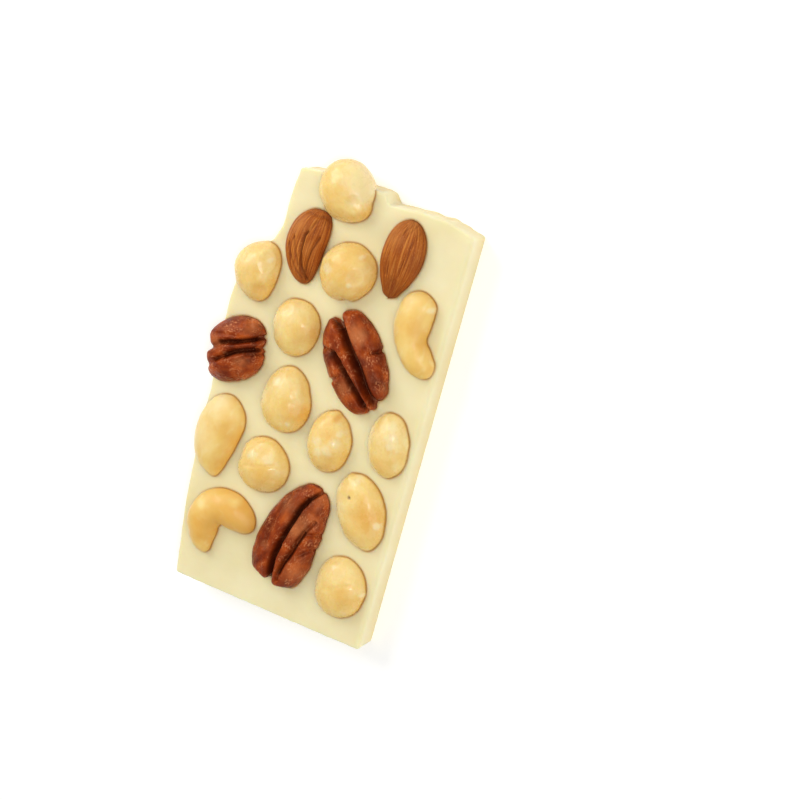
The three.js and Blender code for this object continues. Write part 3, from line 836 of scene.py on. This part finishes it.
def grain(tree, size, longer=1, detail=3):
    """Noise with features size mm wide, and longer along the kernel."""
    place = add_node(tree, "ShaderNodeAttribute", attribute_name="skin_place").outputs["Vector"]
    scale = (1 / (size * longer), 1 / size, 1 / size)
    scaled = add_node(tree, "ShaderNodeMapping", {"Vector": place, "Scale": scale})
    inputs = {"Vector": scaled.outputs["Vector"], "Scale": 1, "Detail": detail}
    return add_node(tree, "ShaderNodeTexNoise", inputs).outputs["Fac"]


def ramp(tree, factor, *stops):
    """Turns a factor into a colour, by stops of (factor, colour)."""
    node = add_node(tree, "ShaderNodeValToRGB", {"Fac": factor})
    elements = node.color_ramp.elements
    elements[0].position, elements[0].color = stops[0]
    elements[1].position, elements[1].color = stops[-1]
    for place, colour in stops[1:-1]:
        elements.new(place).color = colour
    return node.outputs["Color"]


def span(tree, value, low, high, to_low=0, to_high=1):
    """Maps a value from one range to another, held at both ends."""
    inputs = {"Value": value, "From Min": low, "From Max": high}
    inputs.update({"To Min": to_low, "To Max": to_high})
    return add_node(tree, "ShaderNodeMapRange", inputs).outputs["Result"]


def mix(tree, factor, first, second):
    """Mixes two colours. Each of the three may be a plain value or another node's output."""
    node = add_node(tree, "ShaderNodeMix", data_type="RGBA")
    for index, value in ((0, factor), (6, first), (7, second)):
        if isinstance(value, bpy.types.NodeSocket):
            tree.links.new(value, node.inputs[index])
        else:
            node.inputs[index].default_value = value
    return node.outputs[2]


def math_node(tree, operation, first, second):
    node = add_node(tree, "ShaderNodeMath", {0: first, 1: second}, operation=operation)
    return node.outputs["Value"]


def bump(tree, height, depth, under=None):
    """A bump whose height of 1 stands depth mm proud."""
    inputs = {"Height": height, "Distance": depth * MM}
    if under:
        inputs["Normal"] = under
    return add_node(tree, "ShaderNodeBump", inputs).outputs["Normal"]


def point_value(tree, name):
    return add_node(tree, "ShaderNodeAttribute", attribute_name=name).outputs["Fac"]


def socket_name(key):
    """The shader's own name of a socket that is given as a keyword."""
    return key.replace("_", " ").title().replace("Ior", "IOR")


def new_surface(name, **values):
    """A material, its node tree and its shader, with the shader's plain values set."""
    material = bpy.data.materials.new(name)
    material.use_nodes = True
    tree = material.node_tree
    shader = tree.nodes["Principled BSDF"]
    for key, value in values.items():
        shader.inputs[socket_name(key)].default_value = value
    return material, tree, shader


def connect(tree, shader, **sources):
    for key, source in sources.items():
        tree.links.new(source, shader.inputs[socket_name(key)])


def chocolate_material():
    """White chocolate: slow clouds of tone, with painted shade that yellows it near the nuts and down
    the sides and darkens the crevices."""
    material, tree, shader = new_surface(
        "white_chocolate", subsurface_weight=0.65, subsurface_scale=0.0035,
        subsurface_radius=(1, 0.75, 0.4), specular_ior_level=0.4,
    )  # fmt: skip
    clouds = grain(tree, 16, detail=4)
    colour = ramp(
        tree, clouds,
        (0.3, srgb(237, 225, 177)), (0.5, srgb(241, 230, 185)), (0.7, srgb(245, 235, 193)),
    )  # fmt: skip
    # Painted shade: the chocolate turns yellower and darker near the nuts.
    nut_shade = span(tree, point_value(tree, "nut_shade_closeness"), 0.35, 1, 0, 0.5)
    colour = mix(tree, nut_shade, colour, srgb(238, 217, 163))
    # Painted shade: the sides turn deeper and yellower further down.
    place = add_node(tree, "ShaderNodeAttribute", attribute_name="skin_place").outputs["Vector"]
    height = add_node(tree, "ShaderNodeSeparateXYZ", {"Vector": place}).outputs["Z"]
    side_shade = span(tree, height, -1.5, -SLAB_THICKNESS, 0, 0.7)
    colour = mix(tree, side_shade, colour, srgb(237, 211, 146))
    # Painted shade: the crevices turn a deep golden brown.
    crevice_shade_mix = span(tree, point_value(tree, "crevice_shade"), 0, 1, 0, 0.7)
    colour = mix(tree, crevice_shade_mix, colour, srgb(208, 142, 30))
    roughness = span(tree, grain(tree, 3), 0.3, 0.7, 0.36, 0.52)
    normal = bump(tree, grain(tree, 0.45, detail=2), 0.02)
    normal = bump(tree, grain(tree, 2.2), 0.06, normal)
    connect(tree, shader, base_color=colour, roughness=roughness, normal=normal)
    return material


def tinted(tree, colour, pale, deep):
    """Mixes in the paler and deeper areas, partly painted highlight and shade."""
    tint = point_value(tree, "tint")
    colour = mix(tree, span(tree, tint, 0, 1, 0, 0.75), colour, pale)
    return mix(tree, span(tree, tint, 0, -1, 0, 0.75), colour, deep)


def nut_material(name, dark, middle, light, edge, smoothest):
    """A smooth, oily kernel with chocolate film on it, and painted shade deepening its colour down
    its steep sides and at its foot. Its film patches and flecks are partly painted highlights.
    """
    material, tree, shader = new_surface(
        name, subsurface_weight=0.45, subsurface_scale=0.003, subsurface_radius=(1, 0.6, 0.2),
        specular_ior_level=0.45,
    )  # fmt: skip
    colour = ramp(tree, grain(tree, 5, 1.4), (0.32, dark), (0.5, middle), (0.68, light))
    # Painted shade: the more steeply the skin faces sideways, the more of the edge colour it takes.
    facing = add_node(tree, "ShaderNodeNewGeometry").outputs["Normal"]
    up_for_side_shade = add_node(tree, "ShaderNodeSeparateXYZ", {"Vector": facing}).outputs["Z"]
    colour = mix(tree, span(tree, up_for_side_shade, 0.7, 0, 0, 0.6), colour, edge)
    # Pale flecks, partly painted glints.
    flecks_and_glints = span(tree, grain(tree, 2, 2, 1), 0.58, 0.75, 0, 0.3)
    colour = mix(tree, flecks_and_glints, colour, srgb(*KERNEL_FLECKS_AND_GLINTS))
    colour = tinted(tree, colour, srgb(*KERNEL_PALE), srgb(*KERNEL_DEEP))
    # Painted shade at the foot.
    foot = span(tree, point_value(tree, "foot"), 0, 1, 0, 0.7)
    colour = mix(tree, foot, colour, srgb(*KERNEL_FOOT_SHADE))
    # Chocolate film; its patches also paint some highlights.
    film_and_highlight = point_value(tree, "film_and_highlight")
    torn = span(tree, grain(tree, 1.6, 1, 2), 0.25, 0.75, -0.15, 0.15)
    film_and_highlight = span(tree, math_node(tree, "ADD", film_and_highlight, torn), 0.1, 1, 0, 0.62)
    colour = mix(tree, film_and_highlight, colour, srgb(*KERNEL_FILM_AND_HIGHLIGHT))
    colour = mix(tree, point_value(tree, "spot"), colour, srgb(*KERNEL_SPOT))
    roughness = span(tree, grain(tree, 1.5, detail=1), 0.35, 0.65, smoothest, smoothest + 0.18)
    normal = bump(tree, grain(tree, 0.7, detail=1), 0.006)
    normal = bump(tree, grain(tree, 2.4, 1.5, 1), 0.18, normal)
    connect(tree, shader, base_color=colour, roughness=roughness, normal=normal)
    return material


def darken(tree, colour, shade, shallow, deep):
    """Paints shade on a skin at its foot, and down its grooves between two depths in mm; a pecan's
    grooves also hold darker skin of their own.
    """
    groove = span(tree, point_value(tree, "groove"), shallow, deep, 0, 0.8)
    foot = span(tree, point_value(tree, "foot"), 0, 1, 0, 0.6)
    deepest = math_node(tree, "MAXIMUM", groove, foot)
    return mix(tree, deepest, colour, shade)


def almond_material():
    """Brown skin with streaks from tip to tip, small pale flecks that are partly painted glints on
    the ridges, and painted shade at the foot and down the creases.
    """
    material, tree, shader = new_surface(
        "almond_skin", specular_ior_level=0.3, specular_tint=(1, 0.78, 0.55, 1)
    )
    streaks = grain(tree, 0.5, 20, 3)
    colour = ramp(
        tree, streaks,
        (0.3, srgb(132, 59, 12)), (0.48, srgb(175, 90, 22)), (0.7, srgb(214, 134, 54)),
    )  # fmt: skip
    colour = tinted(tree, colour, srgb(210, 134, 66), srgb(112, 44, 12))
    clouds = span(tree, grain(tree, 4), 0.35, 0.7, 0, 0.4)
    colour = mix(tree, clouds, colour, srgb(156, 70, 18))
    # Pale flecks, partly painted glints on the ridges.
    flecks_and_glints = span(tree, grain(tree, 0.28, 2, 2), 0.56, 0.72, 0, 0.4)
    colour = mix(tree, flecks_and_glints, colour, srgb(216, 146, 84))
    # Painted shade at the foot and down the creases.
    colour = darken(tree, colour, srgb(84, 34, 10), 0.1, 1.1)
    roughness = span(tree, grain(tree, 1.2), 0.3, 0.7, 0.42, 0.62)
    normal = bump(tree, grain(tree, 0.22, 3, 2), 0.08)
    normal = bump(tree, streaks, 0.3, normal)
    connect(tree, shader, base_color=colour, roughness=roughness, normal=normal)
    return material


def pecan_material():
    """Red-brown skin in blotches, with clusters of pale flecks that are partly painted glints, and
    grooves darkened by painted shade and by their own darker skin.
    """
    material, tree, shader = new_surface(
        "pecan_skin", specular_ior_level=0.35, specular_tint=(1, 0.62, 0.38, 1)
    )
    blotches = grain(tree, 3.2, 1.6, 4)
    colour = ramp(
        tree, blotches,
        (0.32, srgb(96, 29, 8)), (0.5, srgb(141, 50, 11)), (0.68, srgb(182, 80, 23)),
    )  # fmt: skip
    # The pale areas are partly painted highlights.
    colour = tinted(tree, colour, srgb(214, 128, 74), srgb(90, 30, 16))
    # Clusters of pale flecks, partly painted glints of sheen.
    clusters = span(tree, grain(tree, 2.6, 1.5, 2), 0.46, 0.62, 0, 0.7)
    flecks_and_glints = span(tree, grain(tree, 0.45, 1.6, 3), 0.5, 0.66, 0, 1)
    flecks_and_glints = math_node(tree, "MULTIPLY", flecks_and_glints, clusters)
    colour = mix(tree, flecks_and_glints, colour, srgb(216, 138, 90))
    # Painted shade at the foot and down the grooves, which in a pecan are also darker of themselves.
    colour = darken(tree, colour, srgb(58, 18, 8), 0.4, 2.4)
    roughness = span(tree, grain(tree, 1), 0.3, 0.7, 0.24, 0.46)
    normal = bump(tree, grain(tree, 0.32, 1.4, 2), 0.12)
    normal = bump(tree, grain(tree, 1.1, 1.8, 3), 0.3, normal)
    connect(tree, shader, base_color=colour, roughness=roughness, normal=normal)
    return material


def floor_material():
    material, tree, shader = new_surface(
        "pale_floor", roughness=0.9, specular_ior_level=0.1,
        emission_color=(1, 1, 1, 1), emission_strength=0.18,
    )  # fmt: skip
    clouds = add_node(tree, "ShaderNodeTexNoise", {"Scale": 5, "Detail": 3}).outputs["Fac"]
    colour = ramp(tree, clouds, (0.3, srgb(252, 252, 251)), (0.7, srgb(255, 255, 254)))
    connect(tree, shader, base_color=colour)
    return material


def add_floor():
    mesh = bpy.data.meshes.new("floor")
    signs = ((-1, -1), (1, -1), (1, 1), (-1, 1))
    corners = [(FLOOR_REACH * x, FLOOR_REACH * y, 0) for x, y in signs]
    mesh.from_pydata(corners, [], [(0, 1, 2, 3)])
    mesh.materials.append(floor_material())
    floor = bpy.data.objects.new("floor", mesh)
    bpy.context.scene.collection.objects.link(floor)


def add_camera():
    data = bpy.data.cameras.new("camera")
    data.lens = CAMERA_LENS
    data.sensor_width = CAMERA_SENSOR
    camera = bpy.data.objects.new("camera", data)
    bpy.context.scene.collection.objects.link(camera)
    back = (CAMERA_PLACE - CAMERA_TARGET).normalized()
    side = CAMERA_UP.cross(back).normalized()
    turn = Matrix((side, back.cross(side), back)).transposed()
    camera.matrix_world = Matrix.Translation(CORNER + CAMERA_PLACE * MM) @ turn.to_4x4()
    bpy.context.scene.camera = camera


def add_area_light(name, place, size, power, colour):
    data = bpy.data.lights.new(name, "AREA")
    data.shape = "DISK"
    data.size = size
    data.energy = power
    data.color = colour
    light = bpy.data.objects.new(name, data)
    bpy.context.scene.collection.objects.link(light)
    light.location = place
    light.rotation_euler = (-Vector(place)).to_track_quat("-Z", "Y").to_euler()


def add_lights():
    world = bpy.data.worlds.new("studio")
    world.use_nodes = True
    background = world.node_tree.nodes["Background"]
    background.inputs["Color"].default_value = (1, 1, 1, 1)
    background.inputs["Strength"].default_value = WORLD_STRENGTH
    bpy.context.scene.world = world
    for light in LIGHTS:
        add_area_light(*light)
    bpy.context.scene.view_settings.view_transform = "Standard"


# The fourth colour given to each kernel material is the painted shade down its steep sides.
macadamia_material = nut_material(
    "macadamia", srgb(239, 200, 114), srgb(244, 211, 130), srgb(248, 221, 147),
    srgb(230, 172, 68), 0.2,
)  # fmt: skip
cashew_material = nut_material(
    "cashew", srgb(238, 194, 102), srgb(243, 205, 116), srgb(246, 214, 132),
    srgb(226, 162, 60), 0.34,
)  # fmt: skip
surfaces = add_nuts(
    "macadamia", MACADAMIAS, MACADAMIA_MESH, macadamia_point, MACADAMIA_RELIEF,
    macadamia_material, 0,
)  # fmt: skip
surfaces += add_nuts(
    "almond", ALMONDS, ALMOND_MESH, almond_point, ALMOND_RELIEF,
    almond_material(), 10, almond_skin,
)  # fmt: skip
surfaces += add_nuts(
    "cashew", CASHEWS, CASHEW_MESH, cashew_point, CASHEW_RELIEF,
    cashew_material, 12,
)  # fmt: skip
surfaces += add_nuts(
    "pecan", PECANS, PECAN_MESH, pecan_point, PECAN_RELIEF,
    pecan_material(), 15,
)  # fmt: skip
add_slab(surfaces, chocolate_material())
add_floor()
add_camera()
add_lights()
